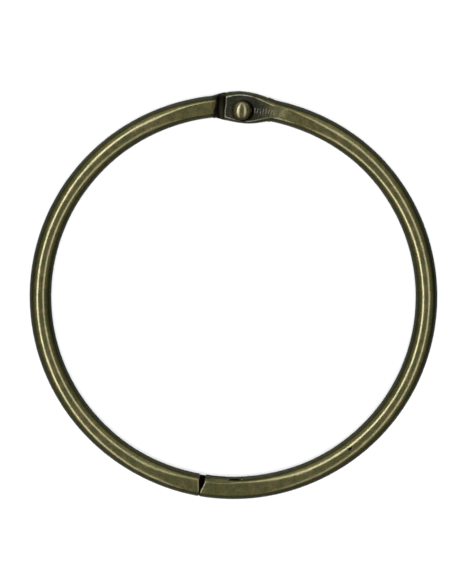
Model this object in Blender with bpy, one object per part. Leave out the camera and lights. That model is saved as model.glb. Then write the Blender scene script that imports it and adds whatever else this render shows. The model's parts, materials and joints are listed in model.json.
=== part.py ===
"""Hinged binder ring.

Two half rings of round wire turn on one rivet. One arm ends in a flat tongue at the hinge and
in a hooked tongue at the closure. The other ends in a fork at the hinge and in a slot at the
closure. The ring lies flat: +Z is its axis, the hinge is on +Y, and the origin is its centre.

Places round the ring are given as an angle from the hinge, clockwise as seen from the front,
and as a height v outside (+) or inside (-) the wire's centreline.
"""

import math

import bmesh
import bpy
from mathutils import Matrix, Vector

# Ring and wire, metres
RING_OUTSIDE = 0.0763
WIRE = 0.00406
WIRE_FLAT = 0.00052  # flat that forming leaves on the front and back of the wire
PINCHED_FLAT = 0.0022  # the same flat beside the worked ends
PINCH_LENGTH = 0.012

# Lug: the lens-shaped outline that both arms share at the hinge
LUG_LENGTH = 0.0114
LUG_SWELL = 0.00095  # on each side of the wire's own width
LUG_FULLNESS = 1.1  # 1 is a plain parabola, more draws its ends out
LUG_SHIFT = 0.00025  # middle of the lug, past the pin towards the fork arm
LUG_SAG = 0.000175
LUG_THICKNESS = 0.0030
LUG_EDGE = 0.0008  # width of the rounded side of the flat
LUG_RUN_OUT = 0.0034  # slope from the flat up to the round wire
RUN_OUT_LEAD = 0.0005  # the slope starts this far before the lug's end
NECK_DROP_TONGUE_SIDE = 0.00014  # the arms' ends sit this far inside the circle
NECK_DROP_FORK_SIDE = 0.00038
NECK_BLEND = 0.0032  # either side of the pin, from one drop to the other
DROP_NEAR = math.radians(12)
DROP_FAR = math.radians(47)

# Fork and tongue at the hinge
CHEEK_REACH = 0.00307  # pin to the fork's open end
CHEEK_LEAN = math.radians(4)
SHOULDER_CLEARANCE = 0.00036  # tongue arm's shoulder to the fork's corner as it turns past
ROOT_CLEARANCE = 0.0004  # tongue's corner to the bottom of the fork's slot
TONGUE_THICKNESS = 0.0012
TONGUE_PLAY = 0.0001  # on each side, in the slot
TONGUE_CHAMFER = 0.00025
TONGUE_ROOT = 0.0014  # a tongue runs this far into its arm

# Rivet
PIN_DIAMETER = 0.0022
PIN_INSET = 0.00035  # pin axis, inside the middle of the lug
CHEEK_BORE_PLAY = 0.00005
TONGUE_BORE_PLAY = 0.0001
TONGUE_EYE_WALL = 0.00105
HEAD_OVERHANG = 0.000725
HEAD_GAP = 0.00003
DOME_HEIGHT = 0.0009
TAIL_HEIGHT = 0.00045

# Closure, measured along the wire from the point opposite the pin
SEAM_PLACE = 0.00465  # towards the tongue arm
SEAM_LEAN = math.radians(10)
SEAM_GAP = 0.0001
NOSE_BEVEL = math.radians(33)
NOSE_BEVEL_START = 0.0009  # height above the centreline
HOOK_REACH = 0.0006  # tip of the tongue, towards the fork arm
HOOK_LENGTH = 0.0015
HOOK_HEIGHT = 0.00032
HOOK_LEVEL = 0.00055  # underside of the hook, outside the centreline
HOOK_CLEARANCE = 0.00012
CATCH_DEPTH = 0.00025
CATCH_PLAY = 0.0004
SLOT_PAST_HOOK = 0.0025
SLOT_CORNER = 0.0007
TONGUE_BACK = 0.0001  # tongue's inner edge, under the wire's inner surface

# How finely round shapes are divided
SECTION_STEPS = 10
ARC_STEP = math.radians(4)
FINE_ARC_STEP = math.radians(1.3)
FINE_ZONE = math.radians(16)
ROUND_SIDES = 40
MARGIN = 0.002  # how far cutters and raw ends run past what is cut

ring_radius = (RING_OUTSIDE - WIRE) / 2
wire_radius = WIRE / 2
lug_end = LUG_SHIFT + LUG_LENGTH / 2
slot_width = TONGUE_THICKNESS + 2 * TONGUE_PLAY
slot_reach = HOOK_REACH + SLOT_PAST_HOOK


def smooth(t):
    t = min(1.0, max(0.0, t))
    return t * t * (3 - 2 * t)


def mix(a, b, t):
    return a + (b - a) * t


def spread(a, b, count):
    return [mix(a, b, i / count) for i in range(count + 1)]


def along(angle):
    """Distance along the wire from the hinge. It is negative on the tongue arm."""
    return math.remainder(angle, 2 * math.pi) * ring_radius


def half_width(angle):
    """Half the width of the bar across the ring's plane: the wire, swollen at the lug."""
    t = (along(angle) - LUG_SHIFT) / (LUG_LENGTH / 2)
    return wire_radius + LUG_SWELL * max(0.0, 1 - t * t) ** LUG_FULLNESS


def path_radius(angle):
    """Distance of the centreline from the ring's centre."""
    side = smooth((along(angle) / NECK_BLEND + 1) / 2)
    drop = mix(NECK_DROP_TONGUE_SIDE, NECK_DROP_FORK_SIDE, side)
    from_hinge = abs(along(angle)) / ring_radius
    drop *= 1 - smooth((from_hinge - DROP_NEAR) / (DROP_FAR - DROP_NEAR))
    sag = LUG_SAG * (half_width(angle) - wire_radius) / LUG_SWELL
    return ring_radius - drop - sag


def place(angle, v, z=0.0):
    radius = path_radius(angle) + v
    return Vector((radius * math.sin(angle), radius * math.cos(angle), z))


def opposite_angle(s):
    """Angle of a place s past the point opposite the pin, towards the tongue arm."""
    return math.pi + s / ring_radius


def across(angle, lean):
    """Direction along the wire at this angle, clockwise, turned outwards by lean."""
    return Vector((math.cos(angle - lean), -math.sin(angle - lean), 0))


pin = Vector((0, path_radius(0) - PIN_INSET, 0))
opposite = pin.y + path_radius(math.pi)  # pin to the centreline at the closure
tongue_corner = place(-CHEEK_REACH / ring_radius, half_width(-CHEEK_REACH / ring_radius))
cheek_corner = tongue_corner + (tongue_corner.y - pin.y) * math.tan(CHEEK_LEAN) * Vector((1, 0, 0))
shoulder_reach = (cheek_corner - pin).length + SHOULDER_CLEARANCE
root_reach = (tongue_corner - pin).length + ROOT_CLEARANCE


def on_swing(x, radius):
    """A point of the circle of this radius about the pin, at the closure and at this x."""
    return Vector((x, pin.y - math.sqrt(radius * radius - x * x), 0))


def round_pin(radius, first, last, count):
    return [pin + radius * Vector((math.cos(t), math.sin(t), 0)) for t in spread(first, last, count)]


def wire_flat(angle):
    """Half the width of the flat on the wire's front and back."""
    from_closure = math.pi * ring_radius - abs(along(angle))
    nearest = min(abs(along(angle)) - lug_end, from_closure - slot_reach)
    pinched = min(PINCHED_FLAT / 2, half_width(angle) - LUG_EDGE)
    return mix(pinched, WIRE_FLAT / 2, smooth(nearest / PINCH_LENGTH))


def section(angle, half_thickness, flat):
    """Outline of the bar at this angle: two flats joined by half ellipses."""
    points = []
    for side in (1, -1):
        for turn in spread(-math.pi / 2, math.pi / 2, SECTION_STEPS):
            v = flat + (half_width(angle) - flat) * math.cos(turn)
            points.append(place(angle, side * v, side * half_thickness * math.sin(turn)))
    return points


def arc_angles(start, end):
    """Angles from start to end, closer together near the hinge."""
    angles = [start]
    while angles[-1] < end:
        near_hinge = abs(along(angles[-1])) < FINE_ZONE * ring_radius
        angles.append(min(end, angles[-1] + (FINE_ARC_STEP if near_hinge else ARC_STEP)))
    if angles[-1] - angles[-2] < FINE_ARC_STEP / 2:
        del angles[-2]
    return angles


def new_object(name, bm):
    bmesh.ops.recalc_face_normals(bm, faces=bm.faces)
    mesh = bpy.data.meshes.new(name)
    bm.to_mesh(mesh)
    bm.free()
    obj = bpy.data.objects.new(name, mesh)
    bpy.context.collection.objects.link(obj)
    return obj


def loft(name, loops):
    """A closed solid through loops of equal length, with flat ends."""
    bm = bmesh.new()
    rows = [[bm.verts.new(point) for point in loop] for loop in loops]
    for low, high in zip(rows, rows[1:]):
        for i in range(len(low)):
            j = (i + 1) % len(low)
            bm.faces.new((low[i], low[j], high[j], high[i]))
    bm.faces.new(rows[0])
    bm.faces.new(rows[-1])
    return new_object(name, bm)


def inset(outline, distance):
    """The outline moved inwards. It runs anticlockwise seen from +Z."""
    moved = []
    for i, point in enumerate(outline):
        after = (outline[(i + 1) % len(outline)] - point).normalized()
        before = (point - outline[i - 1]).normalized()
        inwards = Vector((-after.y - before.y, after.x + before.x, 0)).normalized()
        moved.append(point + distance * inwards)
    return moved


def plate(name, outline, thickness, chamfer=0.0):
    """A flat plate across the ring's mid-plane, with chamfered rims if a chamfer is given."""
    half = Vector((0, 0, thickness / 2))
    step = Vector((0, 0, chamfer))
    loops = [[p - half + step for p in outline], [p + half - step for p in outline]]
    if chamfer:
        small = inset(outline, chamfer)
        loops = [[p - half for p in small], *loops, [p + half for p in small]]
    return loft(name, loops)


def round_bar(name, radius):
    bm = bmesh.new()
    bmesh.ops.create_cone(
        bm, cap_ends=True, segments=ROUND_SIDES, radius1=radius, radius2=radius,
        depth=WIRE + MARGIN, matrix=Matrix.Translation(pin),
    )
    return new_object(name, bm)


def end_block(name, point, outward):
    """A block that takes away what lies past the plane through point, on its outward side."""
    size = WIRE + LUG_SWELL * 2 + MARGIN * 2
    heading = Matrix.Rotation(math.atan2(outward.y, outward.x), 4, "Z")
    shift = Matrix.Translation(point) @ heading @ Matrix.Translation((size / 2, 0, 0))
    bm = bmesh.new()
    bmesh.ops.create_cube(bm, size=size, matrix=shift)
    return new_object(name, bm)


def combine(target, tool, operation):
    tool.hide_render = True
    tool.display_type = "WIRE"
    modifier = target.modifiers.new(tool.name, "BOOLEAN")
    modifier.operation = operation
    modifier.object = tool


def metal(name, colour, roughness):
    material = bpy.data.materials.new(name)
    material.use_nodes = True
    shader = material.node_tree.nodes["Principled BSDF"]
    shader.inputs["Base Color"].default_value = (*colour, 1)
    shader.inputs["Metallic"].default_value = 1.0
    shader.inputs["Roughness"].default_value = roughness
    return material


def finish(obj, material):
    """Give the piece its material, and put its origin on the pin's axis."""
    obj.data.transform(Matrix.Translation(-pin))
    obj.location = pin
    obj.data.materials.append(material)
    obj.data.shade_smooth()
    obj.data.set_sharp_from_angle(angle=math.radians(35))


def hinge_tongue():
    """Flat eye on the pin. Beside the cheeks it is flush with the lug's outline."""
    root = -(shoulder_reach + TONGUE_ROOT) / ring_radius
    shoulder = -shoulder_reach / ring_radius
    shown = -CHEEK_REACH / ring_radius

    def rim(side):
        hidden = [place(root, side * (half_width(root) - TONGUE_CHAMFER))]
        return hidden + [place(a, side * half_width(a)) for a in spread(shoulder, shown, 4)]

    eye = PIN_DIAMETER / 2 + TONGUE_BORE_PLAY + TONGUE_EYE_WALL
    outline = rim(-1) + round_pin(eye, -math.pi / 2, math.pi / 2, 16) + rim(1)[::-1]
    tongue = plate("hinge_tongue", outline, TONGUE_THICKNESS, TONGUE_CHAMFER)
    bore = round_bar("tongue_bore", PIN_DIAMETER / 2 + TONGUE_BORE_PLAY)
    combine(tongue, bore, "DIFFERENCE")
    return tongue


def hook_tongue():
    """Hooked tongue of the closure. Its outer edge runs on circles about the pin."""
    root = SEAM_PLACE + TONGUE_ROOT
    hook = opposite + HOOK_LEVEL
    hook_start = HOOK_REACH - HOOK_LENGTH
    back_v = TONGUE_BACK - wire_radius
    neck = [on_swing(x, hook - HOOK_HEIGHT) for x in spread(-root, hook_start - HOOK_HEIGHT, 5)]
    sole = [on_swing(x, hook) for x in spread(hook_start, HOOK_REACH - HOOK_HEIGHT, 3)]
    tip = [on_swing(HOOK_REACH, hook - HOOK_HEIGHT), on_swing(HOOK_REACH, opposite + back_v / 2)]
    back_angles = spread(opposite_angle(-HOOK_REACH / 2), opposite_angle(root), 6)
    back = [place(angle, back_v) for angle in back_angles]
    return plate("hook_tongue", neck + sole + tip + back, TONGUE_THICKNESS, TONGUE_CHAMFER)


def closure_slot():
    """Slot open to the inside and to the end, with a catch behind its lip."""
    lip = opposite + HOOK_LEVEL + HOOK_CLEARANCE
    catch = lip + CATCH_DEPTH
    lip_end = HOOK_REACH - HOOK_LENGTH - CATCH_PLAY
    open_end = SEAM_PLACE + MARGIN
    over = opposite - wire_radius - MARGIN
    floor = [on_swing(x, lip) for x in spread(-open_end, lip_end, 6)]
    floor += [on_swing(x, catch) for x in spread(lip_end + CATCH_DEPTH, slot_reach - SLOT_CORNER, 5)]
    centre = on_swing(slot_reach - SLOT_CORNER, catch - SLOT_CORNER)
    corner = []
    for turn in spread(-math.pi / 2, 0, 5)[1:]:
        corner.append(centre + SLOT_CORNER * Vector((math.cos(turn), math.sin(turn), 0)))
    top = [on_swing(slot_reach, over), on_swing(-open_end, over)]
    return plate("closure_slot", floor + corner + top, slot_width)


def fork_slot():
    left = -CHEEK_REACH - MARGIN
    tall = wire_radius + LUG_SWELL + PIN_INSET + MARGIN
    corners = [(left, -tall), (root_reach, -tall), (root_reach, tall), (left, tall)]
    outline = [pin + Vector((x, y, 0)) for x, y in corners]
    return plate("fork_slot", outline, slot_width)


def tongue_half_ring(material):
    """Arm with both tongues, from the closure round to the hinge."""
    start = opposite_angle(SEAM_PLACE - MARGIN)
    end = 2 * math.pi - (shoulder_reach - MARGIN) / ring_radius
    loops = [section(a, wire_radius, wire_flat(a)) for a in arc_angles(start, end)]
    arm = loft("tongue_half_ring", loops)
    seam = opposite_angle(SEAM_PLACE)
    combine(arm, end_block("seam_shoulder", place(seam, 0), -across(seam, SEAM_LEAN)), "DIFFERENCE")
    shoulder = pin - Vector((shoulder_reach, 0, 0))
    combine(arm, end_block("hinge_shoulder", shoulder, Vector((1, 0, 0))), "DIFFERENCE")
    combine(arm, hinge_tongue(), "UNION")
    combine(arm, hook_tongue(), "UNION")
    finish(arm, material)


def fork_half_ring(material):
    """Arm with the fork and the slot, from the hinge round to the closure."""
    start = -(CHEEK_REACH + MARGIN) / ring_radius
    end = opposite_angle(SEAM_PLACE + MARGIN / 2)
    loops = []
    for angle in arc_angles(start, end):
        rise = smooth((along(angle) - lug_end + RUN_OUT_LEAD) / LUG_RUN_OUT)
        if angle > math.pi:
            rise = 1.0
        thickness = mix(LUG_THICKNESS, WIRE, rise)
        flat = mix(half_width(angle) - LUG_EDGE, wire_flat(angle), rise)
        loops.append(section(angle, thickness / 2, flat))
    arm = loft("fork_half_ring", loops)

    fork_end = pin - Vector((CHEEK_REACH, 0, 0))
    facing = Vector((-math.cos(CHEEK_LEAN), math.sin(CHEEK_LEAN), 0))
    combine(arm, end_block("fork_end", fork_end, facing), "DIFFERENCE")
    seam = opposite_angle(SEAM_PLACE - SEAM_GAP)
    combine(arm, end_block("nose_end", place(seam, 0), across(seam, SEAM_LEAN)), "DIFFERENCE")
    bevel_place = SEAM_PLACE - SEAM_GAP - NOSE_BEVEL_START * math.tan(SEAM_LEAN)
    bevel = place(opposite_angle(bevel_place), NOSE_BEVEL_START)
    combine(arm, end_block("nose_bevel", bevel, across(seam, SEAM_LEAN - NOSE_BEVEL)), "DIFFERENCE")
    combine(arm, fork_slot(), "DIFFERENCE")
    combine(arm, round_bar("cheek_bore", PIN_DIAMETER / 2 + CHEEK_BORE_PLAY), "DIFFERENCE")
    combine(arm, closure_slot(), "DIFFERENCE")
    finish(arm, material)


def head_profile(radius, height, steps):
    """A domed head from its rim to its top, as (radius, height above its seat)."""
    sphere = (radius * radius + height * height) / (2 * height)
    points = []
    for turn in spread(math.asin(radius / sphere), 0, steps):
        points.append((sphere * math.sin(turn), height - sphere * (1 - math.cos(turn))))
    return points


def hinge_rivet(material):
    """Rivet with a domed head in front and a low clenched head behind."""
    shank = PIN_DIAMETER / 2
    seat = LUG_THICKNESS / 2 + HEAD_GAP
    head = shank + HEAD_OVERHANG
    front = [(r, seat + z) for r, z in head_profile(head, DOME_HEIGHT, 7)]
    back = [(r, -seat - z) for r, z in head_profile(head, TAIL_HEIGHT, 5)]
    profile = front[::-1] + [(shank, seat), (shank, -seat)] + back
    bm = bmesh.new()
    chain = [bm.verts.new(pin + Vector((r, 0, z))) for r, z in profile]
    edges = [bm.edges.new(pair) for pair in zip(chain, chain[1:])]
    bmesh.ops.spin(
        bm, geom=chain + edges, cent=pin, axis=(0, 0, 1), angle=2 * math.pi,
        steps=ROUND_SIDES, use_merge=True, use_duplicate=False,
    )
    bmesh.ops.remove_doubles(bm, verts=bm.verts, dist=1e-6)
    finish(new_object("hinge_rivet", bm), material)


def main():
    for obj in list(bpy.data.objects):
        bpy.data.objects.remove(obj)
    bronze = metal("antique_bronze", (0.32, 0.29, 0.16), 0.38)
    fork_half_ring(bronze)
    tongue_half_ring(bronze)
    hinge_rivet(metal("rivet_bronze", (0.40, 0.36, 0.20), 0.30))


main()
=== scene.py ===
import bpy
import bmesh
import json
import math
from mathutils import Matrix, Vector


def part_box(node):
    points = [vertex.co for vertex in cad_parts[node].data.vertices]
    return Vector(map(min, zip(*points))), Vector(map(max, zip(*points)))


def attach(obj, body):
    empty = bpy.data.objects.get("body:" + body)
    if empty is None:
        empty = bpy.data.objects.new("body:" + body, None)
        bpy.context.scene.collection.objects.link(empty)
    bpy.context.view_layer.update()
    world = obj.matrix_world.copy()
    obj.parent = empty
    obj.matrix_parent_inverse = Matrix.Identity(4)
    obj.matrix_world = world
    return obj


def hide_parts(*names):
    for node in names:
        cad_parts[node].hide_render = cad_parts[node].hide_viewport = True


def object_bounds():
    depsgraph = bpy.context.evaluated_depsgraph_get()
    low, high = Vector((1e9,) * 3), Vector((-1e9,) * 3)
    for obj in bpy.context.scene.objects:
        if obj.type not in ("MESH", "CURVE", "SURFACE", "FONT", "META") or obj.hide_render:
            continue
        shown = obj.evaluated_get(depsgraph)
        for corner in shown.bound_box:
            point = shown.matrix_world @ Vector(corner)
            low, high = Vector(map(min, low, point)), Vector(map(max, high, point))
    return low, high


# A hinged loose-leaf ring in antique bronze, lying flat on a pale table.
# Lengths below are in millimetres, and become metres where a mesh is made.
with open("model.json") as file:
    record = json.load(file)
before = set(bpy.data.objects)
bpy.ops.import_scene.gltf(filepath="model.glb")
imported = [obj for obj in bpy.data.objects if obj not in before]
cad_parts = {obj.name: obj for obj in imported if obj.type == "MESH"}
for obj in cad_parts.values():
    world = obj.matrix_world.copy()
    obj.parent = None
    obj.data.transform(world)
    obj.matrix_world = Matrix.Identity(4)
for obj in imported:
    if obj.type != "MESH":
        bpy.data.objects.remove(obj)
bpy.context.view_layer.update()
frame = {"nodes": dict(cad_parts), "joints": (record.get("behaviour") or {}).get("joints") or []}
mm = 0.001
print("frame loaded:", ", ".join(sorted(frame["nodes"])))

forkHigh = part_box("fork_half_ring")[1] / mm
pin = Vector(frame["joints"][0]["pos_m"]) / mm
past = 3.0  # how far a cutter runs past what it cuts

wire = {
    "radius": forkHigh.z,
    "roundEdge": 0.2,  # half the hair-wide flat on the free wire
    "squareEdge": 1.1,  # near the worked ends the dies leave a wider one, between two ridges
    "squareRise": 0.17,
    "squareLength": 15.0,
    "leanHalf": 1.25,  # an end leans over this much either side of the wire's middle
}
wire["circle"] = forkHigh.x - wire["radius"]

lug = {
    "length": 11.4,
    "swell": 1.0,  # on each side of the wire's own width
    "fullness": 1.1,
    "shift": 0.25,  # the swelling sits this far past the pin
    "sag": 0.175,  # how far the middle of the swelling sinks towards the ring's centre
    "halfThickness": 1.5,
    "flatSwell": 1.35,  # how far the ridges bow out round the pin
    "flatFullness": 1.6,
    "runOut": 6.0,  # slope from the lug's flat up to the full wire
    "runOutLead": 1.2,
    "tongueDrop": 0.06,  # how far each arm sinks at the hinge
    "forkDrop": 0.28,
    "dropBlend": 3.2,
    "dropHold": 12,  # degrees from the hinge before it fades, and degrees that the fade takes
    "dropFade": 35,
}

hinge = {
    "cheekReach": 3.16,
    "cheekLean": [-0.25, 0.1],  # what the end leans at its inner and outer side
    "shoulderReach": 4.77,
    "shoulderLean": [-0.38, 0.25],
    "shoulderChamfer": 0.38,
    "chamferSlope": 0.9,
    "edgeRound": 0.18,
    "slotDepth": 4.9,
    "slotHalf": 0.7,
    "tongueHalf": 0.6,
    "tongueRound": 0.25,
    "boreRadius": 1.15,
    "eyeRadius": 2.25,
    "eyeBore": 1.2,
    "rootDepth": 1.4,  # how far the tongue is sunk in the shoulder
    "rootInset": 0.3,
    "shownDepth": 0.7,
    "shownInset": 0.04,
}

closure = {
    "shoulderInside": 5.05,  # where the tongue arm ends, on its inner and outer side
    "shoulderOutside": 4.66,
    "noseInside": 3.97,
    "noseOutside": 4.58,
    "noseRound": 0.2,
    "swell": 0.08,  # both arms are a little wider near the closure
    "swellReach": 6,
    "swellFade": 14,
    "hookReach": 0.6,
    "hookLength": 1.5,
    "hookHeight": 0.32,
    "hookLevel": 0.55,
    "play": 0.12,
    "catchDepth": 0.25,
    "lipClear": 0.4,
    "slotReach": 3.1,
    "slotBack": 6.7,
    "slotCorner": 0.7,
    "hookRoot": 2.0,  # how far the hook's stem is sunk in the shoulder
    "backSink": 0.1,
    "notchReach": 0.35,  # the tongue's root stands in a notch in the nose
    "notchFrom": 0.4,
    "rootClear": 0.06,
    "rootBelow": 0.12,
    "rootRound": 0.15,
    "plugDepth": 1,
}


def smooth(t):
    t = min(1.0, max(0.0, t))
    return t * t * (3 - 2 * t)


def mix(a, b, t):
    return a + (b - a) * t


def spread(a, b, count):
    return [mix(a, b, i / count) for i in range(count + 1)]


def along(angle):
    # distance along the wire from the hinge, negative on the tongue arm
    return math.remainder(angle, 2 * math.pi) * wire["circle"]


def fromClosure(angle):
    return math.pi * wire["circle"] - abs(along(angle))


def lugBow(angle, fullness):
    # 1 at the middle of the lug, 0 from its ends on
    t = (along(angle) - lug["shift"]) / (lug["length"] / 2)
    return max(0.0, 1 - t * t) ** fullness


def halfWidth(angle):
    atClosure = 1 - smooth((fromClosure(angle) - closure["swellReach"]) / closure["swellFade"])
    swelling = lug["swell"] * lugBow(angle, lug["fullness"])
    return wire["radius"] + closure["swell"] * atClosure + swelling


def pathRadius(angle):
    side = smooth((along(angle) / lug["dropBlend"] + 1) / 2)
    drop = mix(lug["tongueDrop"], lug["forkDrop"], side)
    fromHinge = math.degrees(abs(along(angle)) / wire["circle"])
    drop *= 1 - smooth((fromHinge - lug["dropHold"]) / lug["dropFade"])
    sag = lug["sag"] * (halfWidth(angle) - wire["radius"]) / lug["swell"]
    return wire["circle"] - drop - sag


def place(angle, v, z=0.0):
    # v is how far outside the wire's centreline the place is
    r = pathRadius(angle) + v
    return Vector((r * math.sin(angle), r * math.cos(angle), z))


def oppositeAngle(s):
    # s is counted from the point opposite the pin, towards the tongue arm
    return math.pi + s / wire["circle"]


opposite = pin.y + pathRadius(math.pi)


def onSwing(x, radius):
    # on a circle about the pin, so that the tongue swings past it at one distance
    return Vector((x, pin.y - math.sqrt(radius * radius - x * x), 0))


def squareShare(angle):
    # 1 by the lug and the closure, where the dies squared the wire, 0 on the free wire
    fromLug = abs(along(angle)) - lug["length"] / 2
    nearest = min(fromLug, fromClosure(angle) - closure["slotReach"])
    return 1 - smooth(nearest / wire["squareLength"])


def flatEdge(angle):
    # half the width of the flat that the dies leave on top and below
    flat = mix(wire["roundEdge"], wire["squareEdge"], squareShare(angle))
    return flat + lug["flatSwell"] * lugBow(angle, lug["flatFullness"])


def bulgeAt(angle):
    # radius of the wire's round sides, more than its half thickness where the dies squared it
    return wire["radius"] + wire["squareRise"] * squareShare(angle)


def innerFlat(angle, reach, clip):
    # where the round sides' own middles stand, so that they meet the flat at its edge
    narrowing = math.sqrt(1 - (clip / bulgeAt(angle)) ** 2)
    return (flatEdge(angle) - reach * narrowing) / (1 - narrowing)


def forkRise(angle):
    # 0 on the flat of the lug, 1 on the full wire
    if angle > math.pi / 2:
        return 1.0
    lugEnd = lug["shift"] + lug["length"] / 2
    return smooth((along(angle) - lugEnd + lug["runOutLead"]) / lug["runOut"])


def addObject(name, data):
    obj = bpy.data.objects.new(name, data)
    bpy.context.scene.collection.objects.link(obj)
    return obj


def addMesh(name, bm):
    mesh = bpy.data.meshes.new(name)
    bm.to_mesh(mesh)
    bm.free()
    return addObject(name, mesh)


def addSolid(name, bm):
    bmesh.ops.recalc_face_normals(bm, faces=bm.faces)
    return addMesh(name, bm)


def writeBack(obj, bm):
    bmesh.ops.recalc_face_normals(bm, faces=bm.faces)
    bm.to_mesh(obj.data)
    bm.free()


def unit(t):
    return Vector((math.cos(t), math.sin(t), 0))


def drop(obj):
    bpy.data.objects.remove(obj, do_unlink=True)


# The bar of each arm is swept by a node tree: a rail carries the sizes, a section carries fractions.
# Two more values stay on the mesh, where the finish reads them: how rubbed the corners are, and how much
# painted shade a place takes.
railSizes = ["reach", "flat", "bulge", "clip", "shiftInside", "shiftOutside"]
sectionSizes = ["side", "sweep", "level", "face"]
stations = {
    "fine": 0.14,  # step between stations near both ends
    "endGap": 0.08,  # least distance from the last one to a rounded end, and to a chamfer
    "chamferGap": 0.05,
    "fineReach": 9,
    "coarse": 0.6,
    "coarseAfter": 8,
    "endSteps": 5,
    "leanReach": 3,  # an end's lean fades out over this length
}
rubs = {
    "least": 0.15,  # on the corners of the free wire
    "endReach": 0.4,  # corners are rubbed bright this far from an end, then less
    "endFade": 0.8,
    "lugReach": 5,
    "lugFade": 6,
}


def makeLine(name, points, values, closed):
    bm = bmesh.new()
    verts = [bm.verts.new(p) for p in points]
    for a, b in zip(verts, verts[1:]):
        bm.edges.new((a, b))
    if closed:
        bm.edges.new((verts[-1], verts[0]))
    obj = addMesh(name, bm)
    for key in values[0]:
        layer = obj.data.attributes.new(key, "FLOAT", "POINT")
        layer.data.foreach_set("value", [v[key] for v in values])
    return obj


def makeSection(sideSteps, flatSteps):
    # two rounded sides joined by two flats, told as fractions that the tree turns into sizes
    values = []
    for sign in (1, -1):
        for g in spread(-1, 1, sideSteps):
            values.append({"side": sign, "sweep": g * sign, "level": 0, "face": 0})
        for h in spread(1, -1, flatSteps)[1:-1]:
            values.append({"side": 0, "sweep": 0, "level": h * sign, "face": sign})
    ring = [2 * math.pi * i / len(values) for i in range(len(values))]
    points = [unit(t) * mm for t in ring]
    return makeLine("section", points, values, True)


def newNode(tree, kind, inputs, **settings):
    # a plain value is set on its socket, another node's output is linked to it
    node = tree.nodes.new(kind)
    for key, value in settings.items():
        setattr(node, key, value)
    for key, value in inputs.items():
        if isinstance(value, (bool, int, float, str, tuple)):
            node.inputs[key].default_value = value
        elif value is not None:
            tree.links.new(value, node.inputs[key])
    return node


def mathNode(tree, operation, first, second=None):
    return newNode(tree, "ShaderNodeMath", {0: first, 1: second}, operation=operation).outputs[0]


def product(tree, first, *others):
    for other in others:
        first = mathNode(tree, "MULTIPLY", first, other)
    return first


def total(tree, first, *others):
    for other in others:
        first = mathNode(tree, "ADD", first, other)
    return first


def vectorNode(tree, operation, first, second=None, scale=None):
    inputs = {0: first, 1: second, "Scale": scale}
    node = newNode(tree, "ShaderNodeVectorMath", inputs, operation=operation)
    isNumber = operation in ("LENGTH", "DOT_PRODUCT")
    return node.outputs["Value" if isNumber else "Vector"]


def joinNode(tree, x=None, y=None, z=None):
    # a vector from its three parts; one that isn't given stays 0
    return newNode(tree, "ShaderNodeCombineXYZ", {0: x, 1: y, 2: z}).outputs[0]


def splitNode(tree, vector):
    return newNode(tree, "ShaderNodeSeparateXYZ", {0: vector}).outputs


def ramp(tree, value, low, high, toLow=0.0, toHigh=1.0, kind="SMOOTHSTEP"):
    inputs = {"Value": value, "From Min": low, "From Max": high, "To Min": toLow, "To Max": toHigh}
    return newNode(tree, "ShaderNodeMapRange", inputs, interpolation_type=kind).outputs["Result"]


def addSocket(tree, name, kind, side="INPUT", value=None):
    socket = tree.interface.new_socket(name, in_out=side, socket_type=kind)
    if value is not None:
        socket.default_value = value
    return socket


def meshTree(name, inputs):
    # a Geometry Nodes tree with its named inputs, each a kind and a value
    tree = bpy.data.node_groups.new(name, "GeometryNodeTree")
    addSocket(tree, "Geometry", "NodeSocketGeometry")
    for key, (kind, value) in inputs.items():
        addSocket(tree, key, kind, value=value)
    addSocket(tree, "Geometry", "NodeSocketGeometry", "OUTPUT")
    return tree, tree.nodes.new("NodeGroupInput").outputs


def endTree(tree, geometry, finish):
    whole = newNode(tree, "GeometryNodeRealizeInstances", {"Geometry": geometry})
    paint = newNode(tree, "GeometryNodeSetMaterial", {"Geometry": whole.outputs[0], "Material": finish})
    newNode(tree, "NodeGroupOutput", {"Geometry": paint.outputs[0]})
    return tree


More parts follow.
